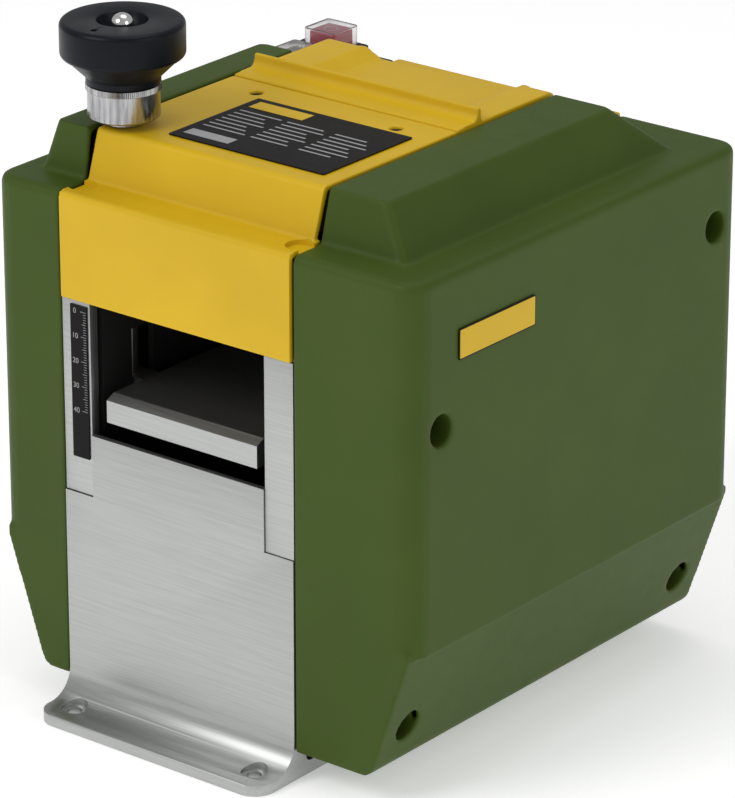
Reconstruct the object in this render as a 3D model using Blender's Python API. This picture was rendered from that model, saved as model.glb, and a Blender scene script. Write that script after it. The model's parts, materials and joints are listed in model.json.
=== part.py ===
"""Bench-top thickness planer, modelled as the separate pieces it comes apart into.

Frame: +Z up, metres. The origin is the centre of the base's underside. The workpiece
enters at the front (-Y) and leaves at the rear (+Y). +X is the belt-drive side.
"""
import math

import bmesh
import bpy
from mathutils import Matrix, Vector

# ---- driving dimensions -------------------------------------------------------------
HALF_DEPTH = 0.115            # covers and base wall, centre to front or rear face
HALF_FRONT = 0.063            # half the width of the aluminium front
GAP = 0.0003                  # air between pieces that touch
WALL = 0.0026                 # moulded cover wall

FOOT_REACH = 0.024            # flange in front of the base wall
FOOT_THICK = 0.0049
FOOT_FILLET = 0.013
FOOT_CORNER = 0.010
FOOT_HOLE_X = 0.0505
FOOT_HOLE_INSET = 0.0115      # hole centre in front of the base wall
BASE_WALL = 0.008
SILL_THICK = 0.0028           # the wall thins here so that the table can sink behind it
SILL_STEP_Z = 0.112
TRAY_TOP = 0.006
NOTCH_Z = 0.101               # where the corner posts start
SILL_Z = 0.1294               # top of the base walls
SILL_HALF = 0.0473

POST_FACE = 0.0005            # post front face behind the base wall's face
POST_THICK = 0.005
HOOD_EDGE_Z = 0.1895          # lower edge of the yellow covers
POST_TOP_Z = 0.232

PLATE_IN = 0.0475             # inner face of the frame's side plates
PLATE_OUT = 0.0505
PLATE_TOP = 0.234

LEDGE_Z = 0.237
LEDGE_DEPTH = 0.0158
TOP_Z = 0.259
RIM_Z = 0.2595                # the hood's sides, level with the green covers' humps
HOOD_Z = 0.2545               # the hood's sunk middle
LIP_Z = 0.2655                # the lip along the hood's front
LIP_DEPTH = 0.127
HOOD_START = 0.113            # from the front face
HOOD_REAR = 0.182

COVER_IN = 0.0633             # open inner side of the green covers
RIGHT_OUT = 0.1265
LEFT_OUT = 0.101
COVER_BOTTOM = 0.0134
RIDGE_Z = 0.0717
SHOULDER_Z = 0.2365
COVER_CORNER = 0.010
SLOPE = math.tan(math.radians(18.8))
WELL_RADIUS = 0.007
WELLS = ((0.018, 0.170), (0.211, 0.203), (0.0175, 0.0335), (0.2125, 0.0335))

CUTTER_DEPTH = 0.115          # cutter axis from the front face
CUTTER_Z = 0.194
CUTTER_RADIUS = 0.019
KNIFE_CIRCLE = 0.020
ROLLER_Z = 0.1816
ROLLER_RADIUS = 0.008
INFEED_DEPTH = 0.072
OUTFEED_DEPTH = 0.158
FLOAT = 0.002                 # how far a feed roller can rise against its spring
MOTOR_Z = 0.048
PULLEY_X = (0.072, 0.086)
SPROCKET_X = (0.072, 0.0755)
OUTPUT_Z = 0.162              # feed reducer's output shaft
ROLLER_SPROCKET = 0.012       # tip radius, 14 teeth
OUTPUT_SPROCKET = 0.008       # tip radius, 9 teeth

TABLE_Z = 0.1485
TABLE_HALF = 0.0413
SCREW_X = 0.0555              # lift screws
SCREW_DEPTHS = (0.034, 0.196)
SCREW_RADIUS = 0.004

WHEEL_TOP = 0.305
RING_BOTTOM = 0.2624

SWITCH_X = -0.078
RED_DEPTH = 0.201
GREEN_DEPTH = 0.177
BUTTON_HALF = 0.007


def y_at(depth):
    """World Y of a place given by its distance behind the front face."""
    return depth - HALF_DEPTH


# ---- materials ----------------------------------------------------------------------
def material(name, colour, roughness, metallic=0.0):
    mat = bpy.data.materials.new(name)
    mat.use_nodes = True
    shader = mat.node_tree.nodes["Principled BSDF"]
    shader.inputs["Base Color"].default_value = (*colour, 1.0)
    shader.inputs["Roughness"].default_value = roughness
    shader.inputs["Metallic"].default_value = metallic
    return mat


# ---- shape helpers ------------------------------------------------------------------
def to_object(name, bm, mat, origin=None):
    bmesh.ops.remove_doubles(bm, verts=bm.verts, dist=1e-7)
    bmesh.ops.recalc_face_normals(bm, faces=bm.faces)
    mesh = bpy.data.meshes.new(name)
    bm.to_mesh(mesh)
    bm.free()
    mesh.shade_smooth()
    mesh.set_sharp_from_angle(angle=math.radians(35))
    obj = bpy.data.objects.new(name, mesh)
    if mat is not None:
        mesh.materials.append(mat)
    if origin is not None:
        mesh.transform(Matrix.Translation(-Vector(origin)))
        obj.location = origin
    bpy.context.collection.objects.link(obj)
    return obj


def fillet(corners, segments=4):
    """Outline points from (u, v, radius) corners, each radius drawn as an arc."""
    points = []
    count = len(corners)
    for i, (u, v, radius) in enumerate(corners):
        here = Vector((u, v))
        if radius <= 0:
            points.append(tuple(here))
            continue
        back = (Vector(corners[i - 1][:2]) - here).normalized()
        ahead = (Vector(corners[(i + 1) % count][:2]) - here).normalized()
        half = back.angle(ahead) / 2
        centre = here + (back + ahead).normalized() * (radius / math.sin(half))
        start = here + back * (radius / math.tan(half)) - centre
        end = here + ahead * (radius / math.tan(half)) - centre
        sweep = start.angle_signed(end)
        for k in range(segments + 1):
            turn = Matrix.Rotation(-sweep * k / segments, 2)
            points.append(tuple(centre + turn @ start))
    return points


def place(axis, u, v, t):
    """World point for outline coordinates u, v at position t along the axis."""
    return {"X": (t, u, v), "Y": (u, t, v), "Z": (u, v, t)}[axis]


def prism_mesh(outline, axis, low, high):
    bm = bmesh.new()
    ends = [[bm.verts.new(place(axis, u, v, t)) for u, v in outline] for t in (low, high)]
    for ring in ends:
        bm.faces.new(ring)
    count = len(outline)
    for i in range(count):
        j = (i + 1) % count
        bm.faces.new((ends[0][i], ends[0][j], ends[1][j], ends[1][i]))
    return bm


def prism(name, outline, axis, low, high, mat, origin=None):
    return to_object(name, prism_mesh(outline, axis, low, high), mat, origin)


def rectangle(u0, u1, v0, v1, radius=0.0):
    return [(u0, v0, radius), (u1, v0, radius), (u1, v1, radius), (u0, v1, radius)]


def block(name, xs, ys, zs, mat, origin=None):
    outline = [(xs[0], ys[0]), (xs[1], ys[0]), (xs[1], ys[1]), (xs[0], ys[1])]
    return prism(name, outline, "Z", zs[0], zs[1], mat, origin)


def turned_mesh(profile, axis, centre, segments=24, ring=False):
    """Solid of revolution. profile is (radius, position along the axis)."""
    bm = bmesh.new()
    loops = []
    for radius, along in profile:
        loop = []
        steps = 1 if radius == 0 else segments
        for k in range(steps):
            a = 2 * math.pi * k / segments
            u, v = radius * math.cos(a), radius * math.sin(a)
            if axis == "Z":
                point = (centre[0] + u, centre[1] + v, along)
            elif axis == "X":
                point = (along, centre[0] + u, centre[1] + v)
            else:
                point = (centre[0] + u, along, centre[1] + v)
            loop.append(bm.verts.new(point))
        loops.append(loop)
    pairs = list(zip(loops, loops[1:]))
    if ring:
        pairs.append((loops[-1], loops[0]))
    for a, b in pairs:
        for k in range(segments):
            m = (k + 1) % segments
            quad = [a[k % len(a)], a[m % len(a)], b[m % len(b)], b[k % len(b)]]
            bm.faces.new(list(dict.fromkeys(quad)))
    if not ring:
        for loop in (loops[0], loops[-1]):
            if len(loop) > 1:
                bm.faces.new(loop)
    return bm


def turned(name, profile, axis, centre, mat, segments=24, ring=False, origin=None):
    return to_object(name, turned_mesh(profile, axis, centre, segments, ring), mat, origin)


def rods(name, places, axis, radius, low, high, segments=16):
    """Several separate rods in one tool object, for one Boolean."""
    bm = bmesh.new()
    for centre in places:
        part = turned_mesh([(radius, low), (radius, high)], axis, centre, segments)
        mesh = bpy.data.meshes.new(name)
        part.to_mesh(mesh)
        part.free()
        bm.from_mesh(mesh)
        bpy.data.meshes.remove(mesh)
    return to_object(name, bm, None)


def combine(target, tool, operation="DIFFERENCE"):
    """Cut or join with a tool object, which stays hidden as a guide."""
    tool.hide_render = True
    tool.display_type = "WIRE"
    modifier = target.modifiers.new(tool.name, "BOOLEAN")
    modifier.operation = operation
    modifier.object = tool
    modifier.solver = "EXACT"


def sprocket_outline(centre, tip, root, teeth, phase=0.0):
    points = []
    for i in range(teeth):
        for share, radius in ((-0.32, root), (-0.12, tip), (0.12, tip), (0.32, root)):
            a = 2 * math.pi * (i + share) / teeth + phase
            points.append((centre[0] + radius * math.cos(a), centre[1] + radius * math.sin(a)))
    return points


def belt_outline(circles, grow, steps=24):
    """Convex outline round circles (u, v, radius), each grown by the same amount."""
    points = []
    for u, v, radius in circles:
        for k in range(steps):
            a = 2 * math.pi * (k + 0.5) / steps
            points.append((u + (radius + grow) * math.cos(a), v + (radius + grow) * math.sin(a)))
    points.sort()
    hull = []
    for direction in (points, points[::-1]):
        start = len(hull)
        for p in direction:
            while len(hull) >= start + 2:
                (ax, ay), (bx, by) = hull[-2], hull[-1]
                if (bx - ax) * (p[1] - ay) - (by - ay) * (p[0] - ax) > 1e-12:
                    break
                hull.pop()
            hull.append(p)
        hull.pop()
    return hull


def loop_band(name, circles, thickness, axis, low, high, mat):
    """Belt or chain as a closed band round its wheels."""
    band = prism(name, belt_outline(circles, GAP + thickness), axis, low, high, mat)
    inside = prism("cut_" + name, belt_outline(circles, GAP), axis, low - 0.001, high + 0.001, None)
    combine(band, inside)
    return band


# ---- base and frame -----------------------------------------------------------------
def build_base(mat):
    front, rear = y_at(0), y_at(2 * HALF_DEPTH)
    outline = fillet([
        (front - FOOT_REACH, 0, 0), (rear + FOOT_REACH, 0, 0),
        (rear + FOOT_REACH, FOOT_THICK, 0.001), (rear, FOOT_THICK, FOOT_FILLET),
        (rear, SILL_Z, 0), (rear - SILL_THICK, SILL_Z, 0),
        (rear - SILL_THICK, SILL_STEP_Z, 0), (rear - BASE_WALL, SILL_STEP_Z, 0),
        (rear - BASE_WALL, TRAY_TOP, 0.003), (front + BASE_WALL, TRAY_TOP, 0.003),
        (front + BASE_WALL, SILL_STEP_Z, 0), (front + SILL_THICK, SILL_STEP_Z, 0),
        (front + SILL_THICK, SILL_Z, 0), (front, SILL_Z, 0),
        (front, FOOT_THICK, FOOT_FILLET), (front - FOOT_REACH, FOOT_THICK, 0.001)])
    base = prism("base_frame", outline, "X", -HALF_FRONT, HALF_FRONT, mat)

    reach = HALF_DEPTH + FOOT_REACH
    plan = fillet(rectangle(-HALF_FRONT, HALF_FRONT, -reach, reach, FOOT_CORNER))
    combine(base, prism("trim_foot_corners", plan, "Z", -0.001, 0.2, None), "INTERSECT")

    for side in (-1, 1):
        xs = sorted((side * SILL_HALF, side * 0.07))
        combine(base, block(f"cut_notch_{side + 1}", xs, (-0.2, 0.2), (NOTCH_Z, 0.2), None))
    hole_y = HALF_DEPTH + FOOT_HOLE_INSET
    places = [(sx * FOOT_HOLE_X, sy * hole_y) for sx in (-1, 1) for sy in (-1, 1)]
    combine(base, rods("cut_foot_holes", places, "Z", 0.0033, -0.001, 0.03, 12))
    combine(base, rods("cut_foot_seats", places, "Z", 0.0058, 0.0036, 0.03, 20))


def build_posts(mat):
    """Corner posts: their front face is flush with the sill and steps back behind the covers."""
    face, back, tucked = POST_FACE, POST_FACE + POST_THICK, 0.0028
    for end, sign in (("front", 1), ("rear", -1)):
        outline = [(face, NOTCH_Z + GAP), (back, NOTCH_Z + GAP), (back, POST_TOP_Z),
                   (tucked, POST_TOP_Z), (tucked, HOOD_EDGE_Z - GAP), (face, HOOD_EDGE_Z - GAP)]
        outline = [(sign * y_at(d), z) for d, z in outline]
        for hand, side in (("left", -1), ("right", 1)):
            xs = sorted((side * (SILL_HALF + GAP), side * HALF_FRONT))
            prism(f"post_{end}_{hand}", outline, "X", xs[0], xs[1], mat)


def build_side_plates(mat):
    """Black frame plates, slotted for the table lugs. Only the right one lets a motor shaft out."""
    near, far = y_at(BASE_WALL + 0.0005), y_at(2 * HALF_DEPTH - BASE_WALL - 0.0005)
    foot = 0.034
    outline = [(near + foot, TRAY_TOP + GAP), (far - foot, TRAY_TOP + GAP), (far - foot, 0.024),
               (far, 0.024), (far, PLATE_TOP), (near, PLATE_TOP), (near, 0.024),
               (near + foot, 0.024)]
    for hand, side in (("left", -1), ("right", 1)):
        xs = sorted((side * PLATE_IN, side * PLATE_OUT))
        reach = (xs[0] - 0.001, xs[1] + 0.001)
        plate = prism(f"side_plate_{hand}", outline, "X", xs[0], xs[1], mat)
        for i, depth in enumerate(SCREW_DEPTHS):
            ys = (y_at(depth - 0.007), y_at(depth + 0.007))
            combine(plate, block(f"cut_lug_slot_{hand}_{i}", reach, ys, (0.121, 0.170), None))
        for end, depth in (("in", INFEED_DEPTH), ("out", OUTFEED_DEPTH)):
            slot = rectangle(y_at(depth - 0.005), y_at(depth + 0.005), 0.176, 0.190, 0.004)
            combine(plate, prism(f"cut_{end}_slot_{hand}", fillet(slot), "X", *reach, None))
        places = [(y_at(CUTTER_DEPTH), CUTTER_Z)]
        if side > 0:
            places.append((y_at(CUTTER_DEPTH), MOTOR_Z))
        combine(plate, rods(f"cut_shafts_{hand}", places, "X", 0.007, *reach))


def build_head_plate(mat):
    block("head_plate", (-PLATE_IN + GAP, PLATE_IN - GAP), (y_at(0.062), y_at(0.168)),
          (0.2150, 0.2190), mat)


# ---- yellow covers ------------------------------------------------------------------
def build_front_top_cover(mat):
    face = y_at(-0.0008)
    low = fillet([
        (face, HOOD_EDGE_Z, 0), (face + WALL, HOOD_EDGE_Z, 0),
        (face + WALL, LEDGE_Z - WALL, 0), (y_at(LEDGE_DEPTH + 0.004), LEDGE_Z - WALL, 0),
        (y_at(LEDGE_DEPTH + 0.004), LEDGE_Z, 0), (face, LEDGE_Z, 0.002)])
    cover = prism("front_top_cover", low, "X", -0.0624, 0.0624, mat)
    step, lean = y_at(LEDGE_DEPTH), 0.0078
    high = fillet([
        (step, LEDGE_Z - WALL, 0), (step + WALL, LEDGE_Z - WALL, 0),
        (step + WALL + lean, TOP_Z - WALL, 0), (y_at(HOOD_START - 0.0004), TOP_Z - WALL, 0),
        (y_at(HOOD_START - 0.0004), TOP_Z, 0), (step + lean, TOP_Z, 0.003)])
    combine(cover, prism("join_upper_cover", high, "X", -0.0613, 0.0613, None), "UNION")
    spindle = [(-SCREW_X, y_at(SCREW_DEPTHS[0]))]
    combine(cover, rods("cut_spindle_hole", spindle, "Z", 0.0053, 0.25, 0.27))
    screws = [(side * 0.0383, y_at(0.1003)) for side in (-1, 1)]
    combine(cover, rods("cut_top_screw_holes", screws, "Z", 0.0031, 0.25, 0.27, 12))


def build_rear_hood(mat):
    """Rear hood: a standing lip in front, a sunk middle and the slot that the chips leave by."""
    back = y_at(HOOD_REAR)
    rear_face = HALF_DEPTH + 0.0008
    lip = y_at(LIP_DEPTH)
    outline = fillet([
        (y_at(HOOD_START), TOP_Z - WALL, 0), (back - WALL, TOP_Z - WALL, 0.003),
        (back - WALL, LEDGE_Z - WALL, 0), (rear_face - WALL, LEDGE_Z - WALL, 0),
        (rear_face - WALL, HOOD_EDGE_Z, 0), (rear_face, HOOD_EDGE_Z, 0),
        (rear_face, LEDGE_Z, 0.002), (back, LEDGE_Z, 0), (back, RIM_Z, 0.005),
        (lip + 0.0026, RIM_Z, 0.001), (lip + 0.0018, LIP_Z, 0.0006), (lip, LIP_Z, 0.0006),
        (lip - 0.0010, TOP_Z + 0.0012, 0.003), (y_at(HOOD_START), TOP_Z + 0.0006, 0)])
    hood = prism("rear_hood", outline, "X", -0.0613, 0.0613, mat)
    low = HOOD_Z - WALL
    trough = [(-0.0445, RIM_Z - 0.0004), (-0.0355, low), (0.0385, low), (0.0485, RIM_Z - 0.0004)]
    combine(hood, prism("join_trough", trough, "Y", lip + 0.0004, back - 0.0010, None), "UNION")
    sunk = [(-0.0420, RIM_Z), (-0.0340, HOOD_Z), (0.0370, HOOD_Z), (0.0460, RIM_Z),
            (0.0460, RIM_Z + 0.002), (-0.0420, RIM_Z + 0.002)]
    combine(hood, prism("cut_sunk_middle", sunk, "Y", lip + 0.0030, y_at(0.2), None))
    slot = fillet(rectangle(-0.026, 0.026, 0.2405, 0.2525, 0.003))
    combine(hood, prism("cut_chip_slot", slot, "Y", y_at(0.175), y_at(0.19), None))


# ---- green covers -------------------------------------------------------------------
def hump_mesh(side, inner, top_outer, base_outer, fronts, rears, zs, soft):
    """Tapered raised block: narrower at the top, with softened outer corners."""
    bm = bmesh.new()
    rings = []
    for z, outer, front, rear in ((zs[0], base_outer, fronts[0], rears[0]),
                                  (zs[1], top_outer, fronts[1], rears[1])):
        corners = [(side * inner, front), (side * outer, front), (side * outer, rear),
                   (side * inner, rear)]
        rings.append([bm.verts.new((x, y_at(d), z)) for x, d in corners])
    bm.faces.new(rings[0])
    bm.faces.new(rings[1])
    for i in range(4):
        j = (i + 1) % 4
        bm.faces.new((rings[0][i], rings[0][j], rings[1][j], rings[1][i]))
    bmesh.ops.recalc_face_normals(bm, faces=bm.faces)
    if soft:
        bm.edges.ensure_lookup_table()
        outer_rims = [bm.edges.get((rings[0][i], rings[1][i])) for i in (1, 2)]
        bmesh.ops.bevel(bm, geom=outer_rims, offset=soft, segments=3, profile=0.5,
                        affect="EDGES")
    return bm


def cover_outline(outer, inset):
    """Section below the ridge, in X and Z, for a cover on the +X side."""
    drop = RIDGE_Z - COVER_BOTTOM
    top_x = outer - 0.0033 - inset
    return [(COVER_IN - (0.001 if inset else 0), COVER_BOTTOM + inset, 0),
            (top_x - SLOPE * (drop - inset), COVER_BOTTOM + inset, 0.007 - inset),
            (top_x, RIDGE_Z, 0), (top_x, RIDGE_Z + 0.004, 0),
            (COVER_IN - (0.001 if inset else 0), RIDGE_Z + 0.004, 0)]


def build_side_cover(name, side, outer, hump, mat):
    """One green cover: a thin shell, open towards the frame, with four screw wells."""
    def mirrored(points):
        return [(side * p[0], *p[1:]) for p in points]

    ends = HALF_DEPTH
    plan = [(COVER_IN, -ends, 0), (outer, -ends, COVER_CORNER), (outer, ends, COVER_CORNER),
            (COVER_IN, ends, 0)]
    bm = prism_mesh(fillet(mirrored(plan)), "Z", RIDGE_Z, SHOULDER_Z)
    bmesh.ops.recalc_face_normals(bm, faces=bm.faces)
    rim = [e for e in bm.edges
           if all(abs(v.co.z - SHOULDER_Z) < 1e-6 for v in e.verts)
           and not all(abs(abs(v.co.x) - COVER_IN) < 1e-6 for v in e.verts)]
    bmesh.ops.bevel(bm, geom=rim, offset=0.003, segments=2, profile=0.5, affect="EDGES")
    cover = to_object(name, bm, mat)

    low = fillet(mirrored(cover_outline(outer, 0)))
    combine(cover, prism(f"join_low_{name}", low, "Y", -ends, ends, None), "UNION")
    zs = (SHOULDER_Z - 0.001, TOP_Z)
    raised = hump_mesh(side, COVER_IN, hump["top"], hump["base"], hump["front"],
                       hump["rear"], zs, 0.003)
    combine(cover, to_object(f"join_hump_{name}", raised, None), "UNION")

    room = ends - WALL
    inner_plan = [(COVER_IN - 0.001, -room, 0), (outer - WALL, -room, 0.007),
                  (outer - WALL, room, 0.007), (COVER_IN - 0.001, room, 0)]
    inside = prism(f"cut_room_{name}", fillet(mirrored(inner_plan), 2), "Z", RIDGE_Z + 0.002,
                   SHOULDER_Z - WALL, None)
    combine(cover, inside)
    low_room = fillet(mirrored(cover_outline(outer, WALL)), 2)
    combine(cover, prism(f"cut_low_room_{name}", low_room, "Y", -room, room, None))
    hump_room = hump_mesh(side, COVER_IN - 0.001, hump["top"] - WALL, hump["base"] - WALL,
                          [d + WALL for d in hump["front"]], [d - WALL for d in hump["rear"]],
                          (SHOULDER_Z - WALL - 0.001, TOP_Z - WALL), 0)
    combine(cover, to_object(f"cut_hump_room_{name}", hump_room, None))

    floor = COVER_IN + 0.009
    places = [(y_at(d), z) for d, z in WELLS]
    add_well_bosses(cover, name, side, outer, floor, places)
    span = sorted((side * floor, side * 0.2))
    combine(cover, rods(f"cut_wells_{name}", places, "X", WELL_RADIUS, *span, 20))
    span = sorted((side * (COVER_IN - 0.01), side * 0.2))
    combine(cover, rods(f"cut_well_holes_{name}", places, "X", 0.0023, *span, 10))
    return floor


def add_well_bosses(cover, name, side, outer, floor, places):
    """Tubes round the screw wells, from the floor of each well out to the shell."""
    for i, (y, z) in enumerate(places):
        reach = outer - 0.001
        if z < RIDGE_Z:
            reach = outer - 0.0033 - SLOPE * (RIDGE_Z - z) - 0.0042
        span = sorted((side * (floor - 0.004), side * reach))
        boss = turned(f"join_boss_{name}_{i}", [(0.0092, span[0]), (0.0092, span[1])], "X",
                      (y, z), None, 16)
        combine(cover, boss, "UNION")


def build_cover_screws(hand, side, floor, mat):
    """Pan-head screws at the bottom of the wells, reaching to the side plates."""
    head = floor + GAP
    for i, (depth, z) in enumerate(WELLS):
        profile = [(0.0020, side * (PLATE_OUT + 0.0007)), (0.0020, side * head),
                   (0.0052, side * head), (0.0052, side * (head + 0.0022)),
                   (0.0036, side * (head + 0.0032))]
        turned(f"cover_screw_{hand}_{i + 1}", profile, "X", (y_at(depth), z), mat, 14)


# ---- cutter and its drive -----------------------------------------------------------
def build_cutter(steel, blade, bearing_mat, pulley_mat, origin):
    centre = (y_at(CUTTER_DEPTH), CUTTER_Z)
    journal = 0.005
    profile = [(0, -0.069), (journal, -0.069), (journal, -0.044), (CUTTER_RADIUS, -0.044),
               (CUTTER_RADIUS, 0.044), (journal, 0.044), (journal, 0.090), (0, 0.090)]
    cutter = turned("cutter_block", profile, "X", centre, steel, 28, origin=origin)
    seat = (0.0112, 0.022)
    for label, sign in (("a", -1), ("b", 1)):
        ys = sorted(centre[0] + sign * r for r in seat)
        zs = (CUTTER_Z - 0.0013, CUTTER_Z + 0.0013)
        combine(cutter, block(f"cut_knife_seat_{label}", (-0.05, 0.05), ys, zs, None))
        ys = sorted(centre[0] + sign * r for r in (seat[0] + GAP, KNIFE_CIRCLE))
        zs = (CUTTER_Z - 0.001, CUTTER_Z + 0.001)
        block(f"knife_{label}", (-0.041, 0.041), ys, zs, blade, origin)
    for hand, side in (("left", -1), ("right", 1)):
        xs = sorted((side * (PLATE_OUT + GAP), side * (PLATE_OUT + 0.0073)))
        ring = [(journal + GAP, xs[0]), (0.013, xs[0]), (0.013, xs[1]), (journal + GAP, xs[1])]
        turned(f"cutter_bearing_{hand}", ring, "X", centre, bearing_mat, 24, True)
    pulley("cutter_pulley", centre, 0.020, journal, pulley_mat, origin)


def pulley(name, centre, radius, shaft, mat, origin):
    x0, x1 = PULLEY_X
    flange = radius + 0.0025
    profile = [(shaft + GAP, x0), (flange, x0), (flange, x0 + 0.0015), (radius, x0 + 0.0015),
               (radius, x1 - 0.0015), (flange, x1 - 0.0015), (flange, x1), (shaft + GAP, x1)]
    return turned(name, profile, "X", centre, mat, 20, True, origin)


def build_motor(shell_mat, steel, pulley_mat, belt_mat, origin):
    centre = (y_at(CUTTER_DEPTH), MOTOR_Z)
    shaft, rotor, room = 0.004, 0.018, 0.0186
    shell = [(shaft + GAP, -0.040), (0.021, -0.040), (0.029, -0.034), (0.029, 0.034),
             (0.021, 0.040), (shaft + GAP, 0.040), (shaft + GAP, 0.033), (room, 0.033),
             (room, -0.033), (shaft + GAP, -0.033)]
    body = turned("motor_body", shell, "X", centre, shell_mat, 20, True)
    cradle = block("join_motor_cradle", (-0.028, 0.028), (centre[0] - 0.020, centre[0] + 0.020),
                   (TRAY_TOP + GAP, MOTOR_Z - 0.022), None)
    combine(body, cradle, "UNION")
    profile = [(0, -0.039), (shaft, -0.039), (shaft, -0.032), (rotor, -0.032), (rotor, 0.032),
               (shaft, 0.032), (shaft, 0.090), (0, 0.090)]
    turned("motor_rotor", profile, "X", centre, steel, 20, origin=origin)
    pulley("motor_pulley", centre, 0.010, shaft, pulley_mat, origin)
    circles = [(centre[0], MOTOR_Z, 0.010), (centre[0], CUTTER_Z, 0.020)]
    loop_band("drive_belt", circles, 0.0017, "X", PULLEY_X[0] + 0.0018, PULLEY_X[1] - 0.0018,
              belt_mat)


# ---- feed ---------------------------------------------------------------------------
def coil(name, centre, radius, wire, z0, z1, turns, mat):
    """Compression spring with a four-sided wire."""
    bm = bmesh.new()
    steps, sides = int(turns * 12), 4
    rings = []
    for k in range(steps + 1):
        a = 2 * math.pi * turns * k / steps
        z = z0 + wire + (z1 - z0 - 2 * wire) * k / steps
        ring = []
        for s in range(sides):
            b = math.pi / 4 + 2 * math.pi * s / sides
            r = radius + wire * math.cos(b)
            ring.append(bm.verts.new((centre[0] + r * math.cos(a), centre[1] + r * math.sin(a),
                                      z + wire * math.sin(b))))
        rings.append(ring)
    bm.faces.new(rings[0])
    bm.faces.new(rings[-1])
    for a, b in zip(rings, rings[1:]):
        for s in range(sides):
            t = (s + 1) % sides
            bm.faces.new((a[s], a[t], b[t], b[s]))
    return to_object(name, bm, mat)


def build_feed_roller(end, depth, roller_mat, steel, spring_mat):
    """Rubber-faced roller, its sprocket, and the sprung yoke that holds its ends."""
    centre = (y_at(depth), ROLLER_Z)
    origin = (0, *centre)
    journal = 0.004
    profile = [(0, -0.0795), (journal, -0.0795), (journal, -0.043), (ROLLER_RADIUS, -0.043),
               (ROLLER_RADIUS, 0.043), (journal, 0.043), (journal, 0.050), (0, 0.050)]
    turned(f"{end}_roller", profile, "X", centre, roller_mat, 20, origin=origin)
    wheel = prism(f"{end}_sprocket", sprocket_outline(centre, ROLLER_SPROCKET, 0.0105, 14), "X",
                  -SPROCKET_X[1], -SPROCKET_X[0], steel, origin)
    combine(wheel, rods(f"cut_{end}_sprocket_bore", [centre], "X", journal + GAP, -0.09, -0.06))

    ys = (centre[0] - 0.006, centre[0] + 0.006)
    yoke = block(f"{end}_yoke", (-0.0467, 0.0467), ys, (0.1765, 0.200), steel)
    combine(yoke, block(f"cut_{end}_yoke_room", (-0.0440, 0.0440), (ys[0] - 0.001, ys[1] + 0.001),
                        (0.170, 0.193), None))
    combine(yoke, rods(f"cut_{end}_yoke_bore", [centre], "X", journal + GAP, -0.06, 0.06))
    coil(f"{end}_spring", (0, centre[0]), 0.0048, 0.0007, 0.200 + GAP, 0.215 - GAP, 4, spring_mat)


def build_reducer(shell_mat, steel, chain_mat):
    """Worm reducer on the left end of the cutter shaft, and the chain to both rollers."""
    centre = y_at(CUTTER_DEPTH)
    outline = fillet(rectangle(centre - 0.017, centre + 0.017, 0.149, 0.212, 0.005), 2)
    shell = prism("reducer_housing", outline, "X", -0.0700, -0.0583, shell_mat)
    combine(shell, rods("cut_reducer_input", [(centre, CUTTER_Z)], "X", 0.0053, -0.08, -0.05))
    combine(shell, rods("cut_reducer_output", [(centre, OUTPUT_Z)], "X", 0.0043, -0.08, -0.05))
    origin = (0, centre, OUTPUT_Z)
    wheel = prism("reducer_sprocket", sprocket_outline((centre, OUTPUT_Z), OUTPUT_SPROCKET, 0.0065, 9),
                  "X", -SPROCKET_X[1], -SPROCKET_X[0], steel, origin)
    shaft = turned("join_output_shaft", [(0.004, -0.079), (0.004, -0.0595)], "X",
                   (centre, OUTPUT_Z), None, 16)
    combine(wheel, shaft, "UNION")
    middle, reach = ROLLER_Z + FLOAT / 2, ROLLER_SPROCKET + FLOAT / 2
    circles = [(y_at(INFEED_DEPTH), middle, reach), (y_at(OUTFEED_DEPTH), middle, reach),
               (centre, OUTPUT_Z, OUTPUT_SPROCKET)]
    loop_band("feed_chain", circles, 0.0015, "X", -SPROCKET_X[1] + GAP, -SPROCKET_X[0] - GAP,
              chain_mat)


# ---- table and lift -----------------------------------------------------------------
def build_table(mat):
    lip, bevel, thick = 0.0032, 0.0023, 0.0055
    half = HALF_DEPTH - lip
    right = [(half, 0.1362), (half, TABLE_Z - bevel), (half - 0.0046, TABLE_Z)]
    under = [(half - 0.008, TABLE_Z - thick), (half - 0.005, 0.1362)]
    left = [(-y, z) for y, z in reversed(right)]
    under_left = [(-y, z) for y, z in reversed(under)]
    outline = right + left + under_left + under
    table = prism("table", outline, "X", -TABLE_HALF, TABLE_HALF, mat)
    for i, depth in enumerate(SCREW_DEPTHS):
        for side in (-1, 1):
            xs = sorted((side * 0.040, side * 0.0605))
            ys = (y_at(depth - 0.0055), y_at(depth + 0.0055))
            lug = block(f"join_lug_{i}_{side + 1}", xs, ys, (0.1385, 0.1475), None)
            combine(table, lug, "UNION")
    places = [(side * SCREW_X, y_at(d)) for side in (-1, 1) for d in SCREW_DEPTHS]
    combine(table, rods("cut_lug_threads", places, "Z", SCREW_RADIUS + GAP, 0.13, 0.16))


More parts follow.
